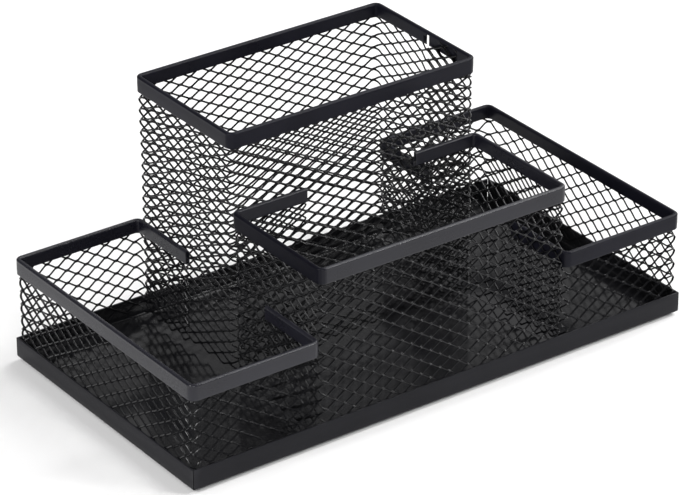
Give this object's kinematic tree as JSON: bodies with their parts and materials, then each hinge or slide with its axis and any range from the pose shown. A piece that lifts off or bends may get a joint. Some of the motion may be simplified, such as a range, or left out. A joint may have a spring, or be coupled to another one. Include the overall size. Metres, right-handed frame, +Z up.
{
  "type": "desk organizer",
  "caption": "Open desk organizer of expanded-metal mesh with folded sheet rims on a shallow sheet-steel pan: tall box behind, middle box in front, low tray at each side.",
  "frame": {"origin": "on the resting surface, under the middle of the pan", "axes": "+X to the right along the long side, +Y to the back (the tall box's side), +Z up"},
  "size_m": [0.22, 0.118, 0.1016],
  "materials": {
    "pan_coat": "satin black powder coat",
    "rim_coat": "satin black powder coat, fine orange peel",
    "mesh_coat": "satin black powder coat on expanded metal",
    "pad_rubber": "matt"
  },
  "bodies": {
    "root": {"base_pan": "pan_coat", "tall_box_mesh": "mesh_coat", "tall_box_rim": "rim_coat", "middle_box_mesh": "mesh_coat", "middle_box_rim": "rim_coat", "left_tray_mesh": "mesh_coat", "left_tray_rim": "rim_coat", "right_tray_mesh": "mesh_coat", "right_tray_rim": "rim_coat", "foot_pad_front_left": "pad_rubber", "foot_pad_front_right": "pad_rubber", "foot_pad_rear_left": "pad_rubber", "foot_pad_rear_right": "pad_rubber"}
  },
  "joints": []
}
